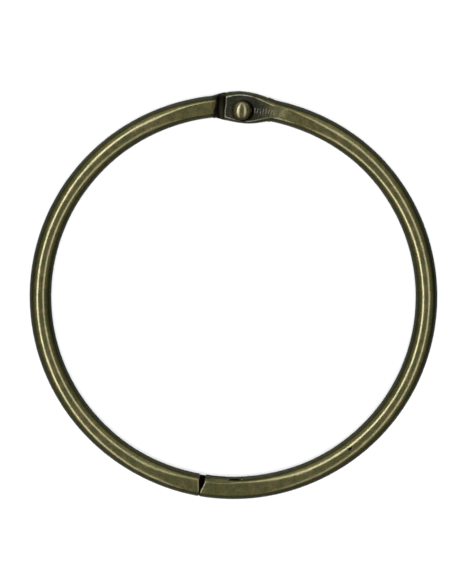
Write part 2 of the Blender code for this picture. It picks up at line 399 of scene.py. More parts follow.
def barTree():
    tree, given = meshTree("barAlongRail", {
        "Section": ("NodeSocketObject", None),
        "Step Half Width": ("NodeSocketFloat", wire["leanHalf"] * mm),
        "Finish": ("NodeSocketMaterial", None),
    })

    def named(key, kind="FLOAT"):
        node = newNode(tree, "GeometryNodeInputNamedAttribute", {"Name": key}, data_type=kind)
        return node.outputs["Attribute"]

    rail = newNode(tree, "GeometryNodeMeshToCurve", {"Mesh": given["Geometry"]})
    keep = newNode(tree, "GeometryNodeStoreNamedAttribute", {
        "Geometry": rail.outputs["Curve"],
        "Name": "centre",
        "Value": tree.nodes.new("GeometryNodeInputPosition").outputs[0],
    }, data_type="FLOAT_VECTOR", domain="POINT")
    info = newNode(tree, "GeometryNodeObjectInfo", {"Object": given["Section"]})
    loop = newNode(tree, "GeometryNodeMeshToCurve", {"Mesh": info.outputs["Geometry"]})
    sweep = newNode(tree, "GeometryNodeCurveToMesh", {
        "Curve": keep.outputs["Geometry"],
        "Profile Curve": loop.outputs["Curve"],
        "Fill Caps": True,
    })

    # side arcs stop where the bar's flat cuts them
    cut = mathNode(tree, "ARCSINE", mathNode(tree, "DIVIDE", named("clip"), named("bulge")))
    turn = product(tree, named("sweep"), cut)
    roundness = mathNode(tree, "SUBTRACT", named("reach"), named("flat"))

    def acrossAt(angle):
        return total(tree, named("flat"), product(tree, roundness, mathNode(tree, "COSINE", angle)))

    sideAcross = product(tree, named("side"), acrossAt(turn))
    flatAcross = product(tree, named("level"), acrossAt(cut))
    across = total(tree, sideAcross, flatAcross)
    isSide = mathNode(tree, "ABSOLUTE", named("side"))
    sideUp = product(tree, isSide, named("bulge"), mathNode(tree, "SINE", turn))
    up = total(tree, sideUp, product(tree, named("face"), named("clip")))

    # the end faces step from an inner to an outer place
    half = given["Step Half Width"]
    shift = ramp(tree, across, product(tree, half, -1), half, named("shiftInside"), named("shiftOutside"))

    centre = named("centre", "FLOAT_VECTOR")
    outward = vectorNode(tree, "NORMALIZE", centre)
    upward = joinNode(tree, z=1.0)
    clockwise = vectorNode(tree, "CROSS_PRODUCT", outward, upward)
    moved = centre
    for way, distance in ((outward, across), (upward, up), (clockwise, shift)):
        moved = vectorNode(tree, "ADD", moved, vectorNode(tree, "SCALE", way, scale=distance))
    move = newNode(tree, "GeometryNodeSetPosition", {"Geometry": sweep.outputs["Mesh"], "Position": moved})
    return endTree(tree, move.outputs["Geometry"], given["Finish"])


def runTree(obj, tree, values):
    # sets the named inputs, and swaps the object's mesh for the tree's result
    modifier = obj.modifiers.new(tree.name, "NODES")
    modifier.node_group = tree
    for item in tree.interface.items_tree:
        if item.in_out == "INPUT" and item.name in values:
            modifier[item.identifier] = values[item.name]
    bake(obj)


def bake(obj):
    deps = bpy.context.evaluated_depsgraph_get()
    deps.update()
    mesh = bpy.data.meshes.new_from_object(obj.evaluated_get(deps))
    obj.modifiers.clear()
    obj.data = mesh


def stationsAlong(length, startRound, endRound, chamfer):
    # close together near both ends, and each end is rounded over its own radius
    steps = stations["endSteps"]
    distances = [startRound * (1 - math.cos(t)) for t in spread(0, math.pi / 2, steps)]
    while distances[-1] < length - endRound - stations["endGap"]:
        nearEnd = min(distances[-1], length - distances[-1])
        coarseness = smooth((nearEnd - stations["fineReach"]) / stations["coarseAfter"])
        distances.append(distances[-1] + mix(stations["fine"], stations["coarse"], coarseness))
    if chamfer:
        lastPlain = length - chamfer - stations["chamferGap"]
        distances = [d for d in distances if d < lastPlain] + [length - chamfer]
    distances[-1] = length - max(endRound, chamfer)
    return distances + [length - endRound * (1 - math.cos(t)) for t in spread(math.pi / 2, 0, steps)[1:]]


def barRail(name, startAngle, endAngle, ends, isFork):
    length = (endAngle - startAngle) * wire["circle"]
    startRound, endRound, chamfer = ends["startRound"], ends["endRound"], ends["endChamfer"]
    points = []
    values = []
    for d in stationsAlong(length, startRound, endRound, chamfer):
        angle = startAngle + d / wire["circle"]
        rounded = roundInset(d, startRound) + roundInset(length - d, endRound)
        reach = halfWidth(angle)
        rise = forkRise(angle) if isFork else 1.0
        clip = mix(lug["halfThickness"], wire["radius"], rise)
        thinner = rounded + max(0.0, chamfer - (length - d)) * hinge["chamferSlope"]
        startShare = 1 - smooth(d / stations["leanReach"])
        endShare = 1 - smooth((length - d) / stations["leanReach"])
        inside = ends["startInside"] * startShare + ends["endInside"] * endShare
        outside = ends["startOutside"] * startShare + ends["endOutside"] * endShare
        values.append({
            "reach": (reach - rounded) * mm,
            "flat": innerFlat(angle, reach, clip) * mm,
            "bulge": (bulgeAt(angle) - thinner) * mm,
            "clip": (clip - thinner) * mm,
            "shiftInside": inside * mm,
            "shiftOutside": outside * mm,
            "rub": cornerRub(angle, isFork, d, length),
        })
        points.append(place(angle, 0) * mm)
    return makeLine(name, points, values, False)


def cornerRub(angle, isFork, distance, length):
    # corners are brightest round the lug and at the closure; the tongue arm's shoulder stays dark
    fromEnd = min(distance, length - distance)
    nearEnd = 1 - smooth((fromEnd - rubs["endReach"]) / rubs["endFade"])
    if not isFork and distance > length / 2:
        return rubs["least"] * (1 - nearEnd)
    onLug = 1 - smooth((abs(along(angle) - lug["shift"]) - rubs["lugReach"]) / rubs["lugFade"])
    return max(rubs["least"], onLug if isFork else 0.0, nearEnd)


def roundInset(distance, radius):
    if distance >= radius:
        return 0.0
    return radius - math.sqrt(max(0.0, radius * radius - (radius - distance) ** 2))


def inset(outline, distance):
    moved = []
    for i, point in enumerate(outline):
        after = (outline[(i + 1) % len(outline)] - point).normalized()
        before = (point - outline[i - 1]).normalized()
        inwards = Vector((-after.y - before.y, after.x + before.x, 0)).normalized()
        moved.append(point + distance * inwards)
    return moved


def makePlate(name, outline, halfThickness, rounding=0.0, steps=4):
    # a flat plate in the ring's plane, its rim rounded over if asked
    levels = [(-halfThickness, 0.0), (halfThickness, 0.0)]
    if rounding:
        turns = spread(0, math.pi / 2, steps)[::-1]
        cuts = [(rounding * (1 - math.sin(t)), rounding * (1 - math.cos(t))) for t in turns]
        levels = [(z - halfThickness, d) for z, d in cuts]
        levels += [(-z, d) for z, d in levels[::-1]]
    bm = bmesh.new()
    rows = []
    for z, distance in levels:
        ring = inset(outline, distance) if distance else outline
        rows.append([bm.verts.new((p + Vector((0, 0, z))) * mm) for p in ring])
    for low, high in zip(rows, rows[1:]):
        for i in range(len(low)):
            j = (i + 1) % len(low)
            bm.faces.new((low[i], low[j], high[j], high[i]))
    bm.faces.new(rows[0])
    bm.faces.new(rows[-1])
    return addSolid(name, bm)


def makeBore(name, radius, sides=96):
    # a round cutter on the pin's axis
    bm = bmesh.new()
    bmesh.ops.create_cone(
        bm, cap_ends=True, segments=sides, radius1=radius * mm, radius2=radius * mm,
        depth=2 * past * mm, matrix=Matrix.Translation(pin * mm),
    )
    return addMesh(name, bm)


def combine(target, tool, operation):
    modifier = target.modifiers.new(tool.name, "BOOLEAN")
    modifier.operation = operation
    modifier.solver = "EXACT"
    modifier.object = tool
    bake(target)
    drop(tool)


def markShade(obj, share):
    # share(place in millimetres) says how much painted shade a place takes, 0 to 1
    layer = obj.data.attributes.new("soot", "FLOAT", "POINT")
    layer.data.foreach_set("value", [share(v.co / mm) for v in obj.data.vertices])


tongueBlack = {
    "touch": 0.01,  # a place this near a face of the tongue is on it
    "hingeSpan": 3,
    "faceFrom": 0.05,
    "faceReach": 0.6,  # the hinge tongue's faces take full painted shade this far, then nearly none
    "faceFade": 0.3,
    "faceLeft": 0.03,
    "sides": 0.9,
    "shoulder": 0.6,
    "shoulderReach": 1.0,
    "shoulderFade": 0.5,
    "hookStart": 0.5,  # past the nose's inner end
    "hookFade": 0.8,
    "hookLeft": 0.45,
}


def tongueShade(p):
    # painted shade of the gaps between the parts: blackest beside the shoulder of the hinge and all over
    # the closure's tongue
    black = tongueBlack
    onTongue = abs(p.z) < hinge["tongueHalf"] + black["touch"]
    fromShoulder = p.x + hinge["shoulderReach"]
    if p.y > 0 and abs(fromShoulder) < black["hingeSpan"]:
        if onTongue and fromShoulder > black["faceFrom"]:
            onFace = abs(p.z) > hinge["tongueHalf"] - black["touch"]
            unshaded = smooth((fromShoulder - black["faceReach"]) / black["faceFade"])
            return mix(1.0, black["faceLeft"], unshaded) if onFace else black["sides"]
        nearShoulder = smooth((fromShoulder + black["shoulderReach"]) / black["shoulderFade"])
        return 0.0 if onTongue else black["shoulder"] * nearShoulder
    if p.y > 0 or not onTongue:
        return 0.0
    outwards = smooth((p.xy.length - wire["circle"] + wire["leanHalf"]) / (2 * wire["leanHalf"]))
    shoulder = mix(closure["shoulderInside"], closure["shoulderOutside"], outwards)
    if p.x < -shoulder - 2 * black["touch"]:
        return 0.0
    shown = smooth((p.x + closure["noseInside"] - black["hookStart"]) / black["hookFade"])
    return mix(1.0, black["hookLeft"], shown)


def finishPiece(obj, material, body, nodes, sharp=35):
    for key in railSizes + sectionSizes + ["centre"]:
        if key in obj.data.attributes:
            obj.data.attributes.remove(obj.data.attributes[key])
    bm = bmesh.new()
    bm.from_mesh(obj.data)
    bmesh.ops.remove_doubles(bm, verts=bm.verts, dist=1e-7)
    writeBack(obj, bm)
    obj.data.materials.clear()
    obj.data.materials.append(material)
    obj.data.shade_smooth()
    obj.data.set_sharp_from_angle(angle=math.radians(sharp))
    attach(obj, body)
    if nodes:
        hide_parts(*nodes)
    print("made", obj.name, "with", len(obj.data.polygons), "faces")


def hingeTongue():
    root = -(hinge["shoulderReach"] + hinge["rootDepth"]) / wire["circle"]
    shownFrom = -(hinge["shoulderReach"] + hinge["shownDepth"]) / wire["circle"]
    shownTo = -hinge["cheekReach"] / wire["circle"]

    def edge(side):
        sunk = [place(root, side * (halfWidth(root) - hinge["rootInset"]))]
        shown = spread(shownFrom, shownTo, 16)
        return sunk + [place(a, side * (halfWidth(a) - hinge["shownInset"])) for a in shown]

    turns = spread(-math.pi / 2, math.pi / 2, 40)
    eye = [pin + hinge["eyeRadius"] * unit(t) for t in turns]
    rim = edge(-1) + eye + edge(1)[::-1]
    plate = makePlate("hingeTongue", rim, hinge["tongueHalf"], hinge["tongueRound"])
    combine(plate, makeBore("eyeBore", hinge["eyeBore"]), "DIFFERENCE")
    return plate


def hookTongue():
    root = closure["shoulderOutside"] + closure["hookRoot"]
    hook = opposite + closure["hookLevel"]
    low = closure["hookHeight"]
    hookStart = closure["hookReach"] - closure["hookLength"]
    back = closure["backSink"] - wire["radius"]
    neck = [onSwing(x, hook - low) for x in spread(-root, hookStart - low, 16)]
    sole = [onSwing(x, hook) for x in spread(hookStart, closure["hookReach"] - low, 8)]
    tip = [onSwing(closure["hookReach"], hook - low), onSwing(closure["hookReach"], opposite + back / 2)]
    backAngles = spread(oppositeAngle(-closure["hookReach"] / 2), oppositeAngle(root), 20)
    rim = neck + sole + tip + [place(a, back) for a in backAngles]
    return makePlate("hookTongue", rim, hinge["tongueHalf"], hinge["tongueRound"])


def closureSlot():
    lip = opposite + closure["hookLevel"] + closure["play"]
    catch = lip + closure["catchDepth"]
    lipEnd = closure["hookReach"] - closure["hookLength"] - closure["lipClear"]
    corner = closure["slotCorner"]
    reach = closure["slotReach"]
    over = opposite - wire["radius"] - past
    floor = [onSwing(x, lip) for x in spread(-closure["slotBack"], lipEnd, 20)]
    floor += [onSwing(x, catch) for x in spread(lipEnd + closure["catchDepth"], reach - corner, 12)]
    middle = onSwing(reach - corner, catch - corner)
    turns = spread(-math.pi / 2, 0, 10)[1:]
    floor += [middle + corner * unit(t) for t in turns]
    rim = floor + [onSwing(reach, over), onSwing(-closure["slotBack"], over)]
    return makePlate("closureSlot", rim, hinge["slotHalf"])


def closurePlug(name, reach, low, high, halfThickness, rounding=0.0):
    # fills the seam from well inside the shoulder to some way past the nose's end
    start = oppositeAngle(closure["noseOutside"] - reach)
    angles = spread(start, oppositeAngle(closure["shoulderInside"] + closure["plugDepth"]), 12)
    rim = [place(a, high) for a in angles[::-1]] + [place(a, low) for a in angles]
    return makePlate(name, rim, halfThickness, rounding)


def noseNotch():
    high = wire["radius"] + past
    return closurePlug("noseNotch", closure["notchReach"], closure["notchFrom"], high, hinge["slotHalf"])


def tongueRoot():
    reach = closure["notchReach"] - closure["rootClear"]
    high = wire["radius"] - closure["rootBelow"]
    return closurePlug("tongueRoot", reach, 0.0, high, hinge["tongueHalf"], closure["rootRound"])


def forkSlot():
    tall = wire["radius"] + lug["swell"] + past
    left, right = -hinge["cheekReach"] - past, hinge["slotDepth"]
    corners = [(left, -tall), (right, -tall), (right, tall), (left, tall)]
    return makePlate("forkSlot", [pin + Vector((x, y, 0)) for x, y in corners], hinge["slotHalf"])


def capQuads(obj):
    # the sweep's end caps become upright strips, which can follow a leaning end
    bm = bmesh.new()
    bm.from_mesh(obj.data)
    for cap in [f for f in bm.faces if len(f.verts) > 4]:
        loop = list(cap.verts)
        outermost = min(loop, key=lambda v: (round(abs(v.co.z), 7), -v.co.xy.length))
        start = loop.index(outermost)
        loop = loop[start:] + loop[:start]
        pairs = [(loop[k], loop[-k]) for k in range(len(loop) // 2 + 1)]
        bm.faces.remove(cap)
        bm.faces.new((pairs[0][0], pairs[1][0], pairs[1][1]))
        for (a, b), (c, d) in zip(pairs[1:-1], pairs[2:-1]):
            bm.faces.new((a, c, d, b))
        bm.faces.new((pairs[-2][0], pairs[-1][0], pairs[-2][1]))
    writeBack(obj, bm)


def makeArm(name, startAngle, endAngle, ends, isFork, section, tree, material):
    arm = barRail(name, startAngle, endAngle, ends, isFork)
    runTree(arm, tree, {"Section": section, "Finish": material})
    capQuads(arm)
    return arm


# Dents are lens-shaped. s is counted from the point opposite the pin, tilt from the ring's plane.
dents = {
    "flankFacet": {"s": 1.3, "tilt": 46, "length": 4.7, "depth": 0.08},
    "dimple": {"s": -1.9, "tilt": 38, "length": 2.6, "width": 0.26, "depth": 0.12},
    "pit": {"s": -25.4, "tilt": 87, "length": 0.8, "width": 0.28, "depth": 0.08},
}
dentCut = {
    "alongSteps": 32,
    "acrossSteps": 16,
    "openWidth": 3.0,  # of a dent that runs right across the wire's side
}


def dentFrame(dent):
    # a dent's middle on the wire's inner side, the way along the wire, across it and out of it
    angle = oppositeAngle(dent["s"])
    tilt = math.radians(dent["tilt"])
    outward = Vector((math.sin(angle), math.cos(angle), 0))
    ahead = Vector((math.cos(angle), -math.sin(angle), 0))
    normal = -math.cos(tilt) * outward + math.sin(tilt) * Vector((0, 0, 1))
    flat = innerFlat(angle, wire["radius"], wire["radius"])
    inwards = flat + (wire["radius"] - flat) * math.cos(tilt)
    middle = place(angle, -inwards, bulgeAt(angle) * math.sin(tilt))
    return middle, ahead, normal.cross(ahead), normal


def dentCutter(name, dent):
    # a lens whose underside bows down into the wire
    onWire, ahead, side, normal = dentFrame(dent)
    ringBend = math.cos(math.radians(dent["tilt"])) / (2 * wire["circle"])
    bend = dent["depth"] / (dent["length"] / 2) ** 2 + ringBend
    width = dent.get("width", dentCut["openWidth"])
    bm = bmesh.new()
    rows = []
    for x in spread(-dent["length"], dent["length"], dentCut["alongSteps"]):
        row = []
        for w in spread(-width, width, dentCut["acrossSteps"]):
            rise = bend * x * x - dent["depth"]
            rise += dent["depth"] * (w / width) ** 2 * 4 if "width" in dent else 0.0
            row.append(bm.verts.new((onWire + x * ahead + w * side + rise * normal) * mm))
        rows.append(row)
    for low, high in zip(rows, rows[1:]):
        for i in range(dentCut["acrossSteps"]):
            bm.faces.new((low[i], low[i + 1], high[i + 1], high[i]))
    walls = bmesh.ops.extrude_face_region(bm, geom=list(bm.faces))["geom"]
    lifted = [v for v in walls if isinstance(v, bmesh.types.BMVert)]
    bmesh.ops.translate(bm, verts=lifted, vec=normal * past * mm)
    return addSolid(name, bm)


def dentShade(p):
    # painted shade: the two narrow dents are black inside
    for dent in (dents["dimple"], dents["pit"]):
        middle, ahead, side, _ = dentFrame(dent)
        x = (p - middle).dot(ahead) / (dent["length"] / 2)
        w = (p - middle).dot(side) / dent["width"]
        if x * x + w * w < 0.9 and p.z > 0:  # 1 at the dent's own rim
            return 1.0
    return 0.0


def spinProfile(name, profile, steps):
    # profile: (radius, height) pairs from the top of the axis to the bottom
    turns = [2 * math.pi * i / steps for i in range(steps)]
    bm = bmesh.new()
    rows = []
    for r, z in profile:
        onAxis = r < 1e-6
        ring = [Vector((r * math.cos(t), r * math.sin(t), z)) for t in turns[:1 if onAxis else steps]]
        rows.append([bm.verts.new((pin + p) * mm) for p in ring])
    for high, low in zip(rows, rows[1:]):
        for i in range(steps):
            j = (i + 1) % steps
            if len(high) == 1:
                bm.faces.new((high[0], low[i], low[j]))
            elif len(low) == 1:
                bm.faces.new((high[i], low[0], high[j]))
            else:
                bm.faces.new((high[i], low[i], low[j], high[j]))
    return addSolid(name, bm)


rivet = {
    "head": 1.85,
    "seat": 1.53,
    "headHeight": 1.06,
    "tailHeight": 0.45,
    "shank": 1.1,
}


def makeRivet():
    def button(height):
        # half an ellipse from its top to its seat
        return [(rivet["head"] * math.sin(t), height * math.cos(t)) for t in spread(0, math.pi / 2, 28)]

    seat = rivet["seat"]
    head = [(r, seat + h) for r, h in button(rivet["headHeight"])]
    shank = [(rivet["shank"], z) for z in spread(seat, -seat, 6)]
    tail = [(r, -seat - h) for r, h in button(rivet["tailHeight"])[::-1]]
    return spinProfile("hingeRivet", head + shank + tail, 96)


ticks = {
    "count": 8,
    "first": 2.45,  # along the lug, past the pin
    "last": 6.15,
    "across": -0.2,
    "width": 0.19,
    "tall": 1.5,
    "height": 0.11,
    "shrink": 0.8,  # the smallest one's share of the full size
    "turn": 14,  # most that one tick is out of line, in degrees
    "seed": 4,
}


def randomNode(tree, low, high, seed):
    inputs = {2: low, 3: high, "Seed": seed}
    return newNode(tree, "FunctionNodeRandomValue", inputs, data_type="FLOAT").outputs[1]


def tickTree():
    # plain raised ticks in a row, each dropped on the lug's face below it
    tree, given = meshTree("ticksOnLug", {
        "Lug": ("NodeSocketObject", None),
        "Width": ("NodeSocketFloat", 0.15 * mm),
        "Tall": ("NodeSocketFloat", 1.2 * mm),
        "Height": ("NodeSocketFloat", 0.09 * mm),
        "Turn": ("NodeSocketFloat", 0.2),
        "Shrink": ("NodeSocketFloat", 0.9),
        "Seed": ("NodeSocketInt", 1),
        "Finish": ("NodeSocketMaterial", None),
    })
    point = tree.nodes.new("GeometryNodeInputPosition").outputs[0]
    lugInfo = newNode(tree, "GeometryNodeObjectInfo", {"Object": given["Lug"]})
    fall = newNode(tree, "GeometryNodeRaycast", {
        "Target Geometry": lugInfo.outputs["Geometry"],
        "Source Position": vectorNode(tree, "ADD", point, joinNode(tree, z=10 * mm)),
        "Ray Direction": (0, 0, -1),
        "Ray Length": 20 * mm,
    })
    landed = newNode(tree, "GeometryNodeSetPosition", {
        "Geometry": given["Geometry"],
        "Position": fall.outputs["Hit Position"],
    })

    # each stands across the wire, a little out of line
    outward = vectorNode(tree, "NORMALIZE", point)
    align = newNode(
        tree, "FunctionNodeAlignRotationToVector", {"Vector": outward}, axis="Y", pivot_axis="Z",
    )
    wobble = randomNode(tree, product(tree, given["Turn"], -1), given["Turn"], given["Seed"])
    turned = newNode(tree, "FunctionNodeRotateRotation", {
        0: align.outputs[0],
        1: joinNode(tree, z=wobble),
    }, rotation_space="LOCAL")

    # one tick: a domed little bar, sunk to its middle in the face
    block = newNode(tree, "GeometryNodeMeshUVSphere", {"Segments": 16, "Rings": 10, "Radius": 0.5})
    sized = newNode(tree, "GeometryNodeTransform", {
        "Geometry": block.outputs["Mesh"],
        "Scale": joinNode(tree, given["Width"], given["Tall"], product(tree, given["Height"], 2)),
    })
    put = newNode(tree, "GeometryNodeInstanceOnPoints", {
        "Points": landed.outputs["Geometry"],
        "Instance": sized.outputs["Geometry"],
        "Rotation": turned.outputs[0],
        "Scale": randomNode(tree, given["Shrink"], 1.0, total(tree, given["Seed"], 7)),
    })
    return endTree(tree, put.outputs["Instances"], given["Finish"])


def makeTicks(arm, material):
    places = spread(ticks["first"], ticks["last"], ticks["count"] - 1)
    bm = bmesh.new()
    for s in places:
        bm.verts.new(place(s / wire["circle"], ticks["across"]) * mm)
    row = addMesh("lugTicks", bm)
    runTree(row, tickTree(), {
        "Lug": arm,
        "Width": ticks["width"] * mm,
        "Tall": ticks["tall"] * mm,
        "Height": ticks["height"] * mm,
        "Turn": math.radians(ticks["turn"]),
        "Shrink": ticks["shrink"],
        "Seed": ticks["seed"],
        "Finish": material,
    })
    return row


# Finishes. The groups give masks, values and normals; each material keeps its own shader.
def shaderGroup(name, sockets, results):
    tree = bpy.data.node_groups.new(name, "ShaderNodeTree")
    for key, value in sockets.items():
        addSocket(tree, key, "NodeSocketFloat", value=value)
    for key, kind in results.items():
        addSocket(tree, key, kind, "OUTPUT")
    return tree, tree.nodes.new("NodeGroupInput").outputs


def noise(tree, vector, scale, detail, w=None):
    inputs = {"Vector": vector, "Scale": scale, "Detail": detail, "W": w}
    sort = "3D" if w is None else "4D"
    return newNode(tree, "ShaderNodeTexNoise", inputs, noise_dimensions=sort).outputs["Fac"]


def objectPlace(tree):
    return tree.nodes.new("ShaderNodeTexCoord").outputs["Object"]


def ringGrainGroup():
    # drawn streaks run along the wire; mottling and specks don't follow it
    tree, given = shaderGroup(
        "ringGrain",
        {"Streak Length": 3.0, "Streak Width": 0.1, "Mottle Size": 2.0, "Speck Density": 3.0},
        {"Streaks": "NodeSocketFloat", "Mottle": "NodeSocketFloat", "Specks": "NodeSocketFloat"},
    )
    inMm = vectorNode(tree, "SCALE", objectPlace(tree), scale=1 / mm)
    x, y, z = splitNode(tree, inMm)
    fromCentre = vectorNode(tree, "LENGTH", joinNode(tree, x, y))
    long, wide = given["Streak Length"], given["Streak Width"]
    pairs = ((x, long), (y, long), (z, wide), (fromCentre, wide))
    x, y, z, across = [mathNode(tree, "DIVIDE", value, size) for value, size in pairs]
    newNode(tree, "NodeGroupOutput", {
        "Streaks": noise(tree, joinNode(tree, x, y, z), 1.0, 2.0, across),
        "Mottle": noise(tree, inMm, mathNode(tree, "DIVIDE", 1.0, given["Mottle Size"]), 4.0),
        "Specks": noise(tree, inMm, given["Speck Density"], 3.0),
    })
    return tree


edgeWear = {
    "bend": (0.003, 0.03),  # how sharp a corner is where the wear starts, and where it is full
    "broken": (0.36, 0.58),
    "least": 0.2,
}


def rubbedEdgesGroup():
    # corners that hands and pages rub bright; Normal is the corner softened
    tree, given = shaderGroup(
        "rubbedEdges",
        {"Radius": 0.0001, "Breakup": 0.5, "Rub": 1.0},
        {"Wear": "NodeSocketFloat", "Normal": "NodeSocketVector"},
    )
    bevel = newNode(tree, "ShaderNodeBevel", {"Radius": given["Radius"]}, samples=8)
    facing = tree.nodes.new("ShaderNodeNewGeometry").outputs["Normal"]
    alike = vectorNode(tree, "DOT_PRODUCT", bevel.outputs[0], facing)
    edge = ramp(tree, mathNode(tree, "SUBTRACT", 1.0, alike), *edgeWear["bend"])
    broken = ramp(tree, given["Breakup"], *edgeWear["broken"], edgeWear["least"], 1.0)
    wear = product(tree, edge, given["Rub"], broken)
    newNode(tree, "NodeGroupOutput", {"Wear": wear, "Normal": bevel.outputs[0]})
    return tree


# Each pair says where the black starts and where it is full.
lugBlack = {
    "hollow": (0.85, 0.45),  # how open a corner is; closed corners get painted shade, partly patina
    "level": (1.95, 1.5),
    "above": (25, 30),
    "beside": (7.5, 2.5),
    "facing": (0.9, 0.98),
    "rivetShadow": (2.25, 1.85),  # painted shadow on the lug, round a point just beside the pin
    "rivetShadowPlace": (0.25, -0.1),
    "patchy": (0.25, 0.6),
    "least": 0.75,
}


def patinaAndShadeGroup():
    # painted shade in the corners and gaps, partly patina, and a painted shadow beside the rivet's head;
    # real dark patina on the sunk face of the lug round it
    tree, given = shaderGroup(
        "darkPatina",
        {"Reach": 0.0012, "Soot": 0.0, "Breakup": 0.5},
        {"Corners": "NodeSocketFloat", "Face": "NodeSocketFloat"},
    )

    def black(value, key, unit=1.0):
        starts, full = lugBlack[key]
        return ramp(tree, value, starts * unit, full * unit)

    hollow = newNode(tree, "ShaderNodeAmbientOcclusion", {"Distance": given["Reach"]}, samples=8)
    x, y, z = splitNode(tree, objectPlace(tree))
    facing = splitNode(tree, tree.nodes.new("ShaderNodeNewGeometry").outputs["Normal"])["Z"]
    low = black(mathNode(tree, "ABSOLUTE", z), "level", mm)
    beside = black(mathNode(tree, "ABSOLUTE", x), "beside", mm)
    flat = black(mathNode(tree, "ABSOLUTE", facing), "facing")
    shadowX, shadowY = lugBlack["rivetShadowPlace"]
    aside = mathNode(tree, "SUBTRACT", x, (pin.x + shadowX) * mm)
    ahead = mathNode(tree, "SUBTRACT", y, (pin.y + shadowY) * mm)
    fromRivetShadow = vectorNode(tree, "LENGTH", joinNode(tree, aside, ahead))
    rivetShadow = product(tree, black(fromRivetShadow, "rivetShadow", mm), low)
    corners = mathNode(tree, "MAXIMUM", black(hollow.outputs["AO"], "hollow"), rivetShadow)
    shadedCorners = total(tree, corners, given["Soot"])
    shadedCorners.node.use_clamp = True
    patchy = ramp(tree, given["Breakup"], *lugBlack["patchy"], lugBlack["least"], 1.0)
    face = product(tree, low, black(y, "above", mm), beside, flat, patchy)
    newNode(tree, "NodeGroupOutput", {"Corners": shadedCorners, "Face": face})
    return tree


def placeGroup(tree, group, values):
    return newNode(tree, "ShaderNodeGroup", values, node_tree=group).outputs


def attributeNode(tree, key):
    return newNode(tree, "ShaderNodeAttribute", {}, attribute_name=key).outputs["Fac"]


def mixColours(tree, factor, first, second):
    first, second = [(*c, 1.0) if isinstance(c, tuple) else c for c in (first, second)]
    inputs = {"Factor": factor, 6: first, 7: second}
    return newNode(tree, "ShaderNodeMix", inputs, data_type="RGBA").outputs[2]


def bronzeMaterial(name, groups, look):
    grain, edges, patina = groups
    material = bpy.data.materials.new(name)
    material.use_nodes = True
    tree = material.node_tree
    shader = tree.nodes["Principled BSDF"]
    link = tree.links.new
    grains = placeGroup(tree, grain, {
        "Streak Length": look["streakLength"],
        "Streak Width": look["streakWidth"],
        "Mottle Size": look["mottleSize"],
        "Speck Density": look["speckDensity"],
    })
    rubbed = placeGroup(tree, edges, {
        "Radius": look["edge"] * mm,
        "Breakup": grains["Mottle"],
        "Rub": look.get("rub", attributeNode(tree, "rub")),
    })
    black = placeGroup(tree, patina, {
        "Reach": look["cornerReach"] * mm,
        "Soot": attributeNode(tree, "soot"),
        "Breakup": grains["Specks"],
    })
    metal = mixColours(tree, ramp(tree, grains["Mottle"], *look["mottled"]), look["olive"], look["brown"])
    streaks = ramp(tree, grains["Streaks"], *look["streaked"], 0.0, look["streakDark"])
    specks = ramp(tree, grains["Specks"], *look["specked"], 0.0, look["speckDark"])
    metal = mixColours(tree, mathNode(tree, "MAXIMUM", streaks, specks), metal, look["dark"])
    face = product(tree, black["Face"], look["faceBlack"])
    metal = mixColours(tree, face, metal, look["patina"])
    wear = product(tree, rubbed["Wear"], look["wear"])
    metal = mixColours(tree, wear, metal, look["worn"])
    # painted shade in corners, gaps and dents, and the painted shadow beside the rivet, partly patina,
    # turn the metal near black
    corners = product(tree, black["Corners"], look["cornerBlack"])
    metal = mixColours(tree, corners, metal, look["black"])
    link(metal, shader.inputs["Base Color"])
    drawn = ramp(tree, grains["Streaks"], *look["drawn"], look["smooth"], look["rough"], "LINEAR")
    dull = mathNode(tree, "MAXIMUM", face, corners)
    duller = product(tree, dull, look["patinaRough"])
    uneven = ramp(tree, grains["Mottle"], *look["mottled"], 0.0, look["unevenRough"])
    rough = total(tree, drawn, duller, product(tree, wear, look["wornRough"]), uneven)
    link(rough, shader.inputs["Roughness"])
    shader.inputs["Metallic"].default_value = 1.0
    link(ramp(tree, dull, 0.0, 1.0, look["lacquer"], 0.0), shader.inputs["Coat Weight"])
    shader.inputs["Coat Roughness"].default_value = look["lacquerRough"]
    bump = newNode(tree, "ShaderNodeBump", {
        "Strength": look["bump"],
        "Distance": look["bumpDepth"] * mm,
        "Height": total(tree, grains["Streaks"], product(tree, grains["Specks"], look["speckBump"])),
        "Normal": rubbed["Normal"],
    })
    link(bump.outputs["Normal"], shader.inputs["Normal"])
    return material


bronzeLook = {
    "olive": (0.35, 0.35, 0.13),
    "brown": (0.455, 0.4, 0.15),
    "dark": (0.06, 0.06, 0.045),
    "patina": (0.045, 0.052, 0.042),
    # near black of the painted shade in corners, gaps and dents, partly patina
    "black": (0.006, 0.005, 0.003),
    "worn": (0.85, 0.82, 0.6),
    "mottleSize": 1.6,
    "mottled": (0.35, 0.65),  # the share of the noise over which the finish turns
    "streakLength": 3.0,
    "streakWidth": 0.09,
    "streaked": (0.58, 0.74),
    "streakDark": 0.5,
    "speckDensity": 3.6,
    "specked": (0.5, 0.68),
    "speckDark": 0.4,
    "drawn": (0.3, 0.7),
    "edge": 0.3,
    "wear": 1.0,
    "cornerReach": 1.0,
    "cornerBlack": 1.0,
    "faceBlack": 0.92,
    "smooth": 0.12,
    "rough": 0.2,
    "patinaRough": 0.1,
    "wornRough": 0.22,
    "unevenRough": 0.05,
    "lacquer": 0.3,
    "lacquerRough": 0.1,
    "bump": 0.4,
    "bumpDepth": 0.02,
    "speckBump": 0.5,
}
rivetLook = {
    **bronzeLook,
    "rub": 0.4,
    "olive": (0.34, 0.315, 0.13),
    "brown": (0.4, 0.35, 0.15),
    "faceBlack": 0.0,
    "cornerBlack": 0.45,
    "streakDark": 0.2,
    "smooth": 0.11,
    "rough": 0.19,
}
